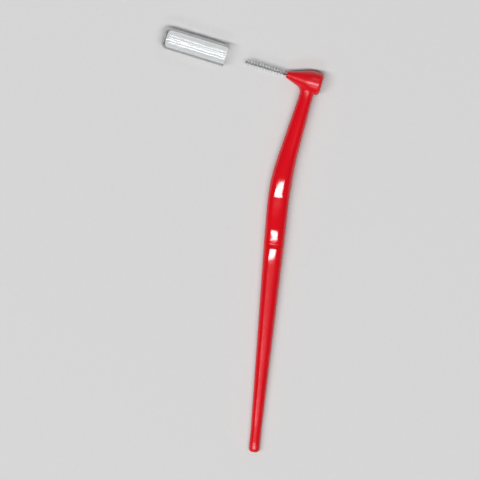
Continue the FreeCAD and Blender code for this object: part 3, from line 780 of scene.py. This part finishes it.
class INTERDENTAL_OT_filaments(Operator):
    """Makes the nylon filaments that the twist of the wire holds"""
    bl_idname = "interdental.filaments"
    bl_label = "Filaments"

    def execute(self, context):
        wire = context.scene.brush_wire
        threads = context.scene.brush_filaments
        _, tilt = laid_down(context.scene.brush_handle)
        values = {
            "Count": threads.count, "First": BRISTLE_HIGH.x, "Last": BRISTLE_LOW.x,
            "Axis Y": WIRE_MIDDLE.y, "Axis Z": WIRE_MIDDLE.z,
            "Fold": fold_place(wire), "Pitch": wire.twist_pitch, "Tilt": tilt,
            "Length": BRISTLE_HIGH.z - BRISTLE_LOW.z, "Radius": threads.diameter / 2,
            "Fan": threads.fan, "Splay": threads.splay, "Trim": threads.trim, "Seed": threads.seed,
            "Material": milky_nylon(threads),
        }
        made = baked("nylon_filaments", filament_tree(), values, threads.count)
        stand_for(made, "filaments", "brush")
        return {"FINISHED"}


class INTERDENTAL_OT_cap(Operator):
    """Makes the clear cap: a tube with a closed round end and a rounded mouth"""
    bl_idname = "interdental.cap"
    bl_label = "Cap"

    def execute(self, context):
        cap = context.scene.brush_cap
        overall = CAP_HIGH.x - CAP_LOW.x
        outer = (CAP_HIGH.y - CAP_LOW.y) / 2
        inner = outer - cap.wall
        end_centre = (cap.end_round, outer - cap.end_round)
        mouth = overall - cap.mouth_round
        well_centre = (cap.end_wall + cap.well_round, inner - cap.well_round)
        end = arc(end_centre, cap.end_round, 180, 90)
        outer_lip = arc((mouth, outer - cap.mouth_round), cap.mouth_round, 90, 0)
        inner_lip = arc((mouth, inner + cap.mouth_round), cap.mouth_round, 360, 270)
        well = arc(well_centre, cap.well_round, 90, 180)
        profile = [(0.0, end[0][1] * 0.5)] + end[:-1]
        profile += between(end[-1], outer_lip[0], TUBE_STEPS) + outer_lip + inner_lip[:-1]
        profile += between(inner_lip[-1], well[0], TUBE_STEPS) + well
        profile.append((cap.end_wall, well[-1][1] * 0.5))
        shape = bmesh.new()
        skin(shape, turned_rings(profile, ridge=0.0))
        seat = Matrix.Translation(Vector((CAP_LOW.x, WIRE_MIDDLE.y, WIRE_MIDDLE.z)))
        made = finish_mesh("clear_cap", shape, seat, clear_plastic(cap))
        stand_for(made, "protective_cap", "cap")
        return {"FINISHED"}


def area_light(name, spot, target, size, radiance):
    """Soft oval white light of a given brightness, aimed at a point, its long side across the picture."""
    light = bpy.data.lights.new(name, "AREA")
    light.shape = "ELLIPSE"
    light.size, light.size_y = size
    light.energy = math.pi ** 2 / 4 * size[0] * size[1] * radiance
    made = bpy.data.objects.new(name, light)
    bpy.context.scene.collection.objects.link(made)
    made.location = spot
    made.rotation_euler = (target - spot).to_track_quat("-Z", "Y").to_euler()


def make_camera(stage):
    """Camera that looks straight down, turned so that the wire rises to the left."""
    right = Vector((math.cos(stage.view_roll), math.sin(stage.view_roll), 0.0))
    up = Vector((-math.sin(stage.view_roll), math.cos(stage.view_roll), 0.0))
    spots = [Vector((CAP_LOW.x, CAP_HIGH.y, 0.0)), Vector((HANDLE_HIGH.x, HANDLE_LOW.y, 0.0)),
             Vector((CROSSING.x, HANDLE_HIGH.y, 0.0)), Vector((HANDLE_HIGH.x, 0.0, 0.0))]
    across = [spot.dot(right) for spot in spots]
    along = [spot.dot(up) for spot in spots]
    middle = right * (max(across) + min(across)) / 2 + up * (max(along) + min(along)) / 2
    view = bpy.data.cameras.new("camera")
    view.sensor_width = 36.0
    view.lens = view.sensor_width * stage.view_distance / stage.view_height
    view.clip_start = 0.1
    view.clip_end = 20.0
    camera = bpy.data.objects.new("camera", view)
    bpy.context.scene.collection.objects.link(camera)
    camera.location = middle + Vector((0.0, 0.0, stage.view_distance))
    camera.rotation_euler = (0.0, 0.0, stage.view_roll)
    bpy.context.scene.camera = camera


class INTERDENTAL_OT_stage(Operator):
    """Makes the pale floor, the soft light and the camera"""
    bl_idname = "interdental.stage"
    bl_label = "Stage"

    def execute(self, context):
        stage = context.scene.brush_stage
        shape = bmesh.new()
        bmesh.ops.create_grid(shape, x_segments=8, y_segments=8, size=1.5)
        mesh = bpy.data.meshes.new("floor")
        shape.to_mesh(mesh)
        shape.free()
        mesh.materials.append(pale_floor(stage))
        floor = bpy.data.objects.new("floor", mesh)
        context.scene.collection.objects.link(floor)
        floor.location.z = -0.02 * MM

        world = bpy.data.worlds.new("room")
        world.use_nodes = True
        background = world.node_tree.nodes["Background"]
        background.inputs["Color"].default_value = (1.0, 1.0, 1.0, 1.0)
        strength = spread(world.node_tree, seen_through(world.node_tree), stage.room, stage.floor[0])
        world.node_tree.links.new(strength, background.inputs["Strength"])
        context.scene.world = world

        middle = Vector()
        turn = Matrix.Rotation(stage.light_turn, 4, "Z")
        area_light("overhead_strip", turn @ Vector((-0.5, -0.6, 3.0)), turn @ Vector((-0.5, 0.0, 0.0)),
                   size=(4.2, 0.34), radiance=26.5)
        area_light("overhead_soft", turn @ Vector((0.0, -0.24, 3.0)), middle, size=(5.4, 0.4), radiance=0.12)
        area_light("low_box", Vector((0.15, -1.6, 1.8)), middle, size=(0.8, 0.3), radiance=8.0)
        area_light("high_box", Vector((0.15, 1.6, 1.8)), middle, size=(0.8, 0.24), radiance=4.7)

        make_camera(stage)
        context.scene.view_settings.view_transform = "Standard"
        return {"FINISHED"}


class INTERDENTAL_PT_brush(Panel):
    """Lists the pieces and the sizes that can be changed"""
    bl_idname = "INTERDENTAL_PT_brush"
    bl_label = "Interdental brush"
    bl_space_type = "VIEW_3D"
    bl_region_type = "UI"
    bl_category = "Brush"

    def draw(self, context):
        for settings, operator in SECTIONS:
            box = self.layout.box()
            box.operator(operator.bl_idname)
            group = getattr(context.scene, settings)
            for name in group.__annotations__:
                box.prop(group, name)


SETTINGS = (
    ("brush_handle", HandleSettings),
    ("brush_wire", WireSettings),
    ("brush_filaments", FilamentSettings),
    ("brush_cap", CapSettings),
    ("brush_stage", StageSettings),
)
SECTIONS = (
    ("brush_handle", INTERDENTAL_OT_handle),
    ("brush_wire", INTERDENTAL_OT_wire),
    ("brush_filaments", INTERDENTAL_OT_filaments),
    ("brush_cap", INTERDENTAL_OT_cap),
    ("brush_stage", INTERDENTAL_OT_stage),
)


def register():
    """Adds the settings, the operators and the panel."""
    for name, group in SETTINGS:
        bpy.utils.register_class(group)
        setattr(bpy.types.Scene, name, PointerProperty(type=group))
    for _, operator in SECTIONS:
        bpy.utils.register_class(operator)
    bpy.utils.register_class(INTERDENTAL_PT_brush)


def unregister():
    """Takes the panel, the operators and the settings away again."""
    bpy.utils.unregister_class(INTERDENTAL_PT_brush)
    for _, operator in SECTIONS:
        bpy.utils.unregister_class(operator)
    for name, group in SETTINGS:
        delattr(bpy.types.Scene, name)
        bpy.utils.unregister_class(group)


def main():
    """Makes every piece and the stage."""
    register()
    bpy.ops.interdental.handle()
    bpy.ops.interdental.wire()
    bpy.ops.interdental.filaments()
    bpy.ops.interdental.cap()
    bpy.ops.interdental.stage()


if __name__ == "__main__":
    main()
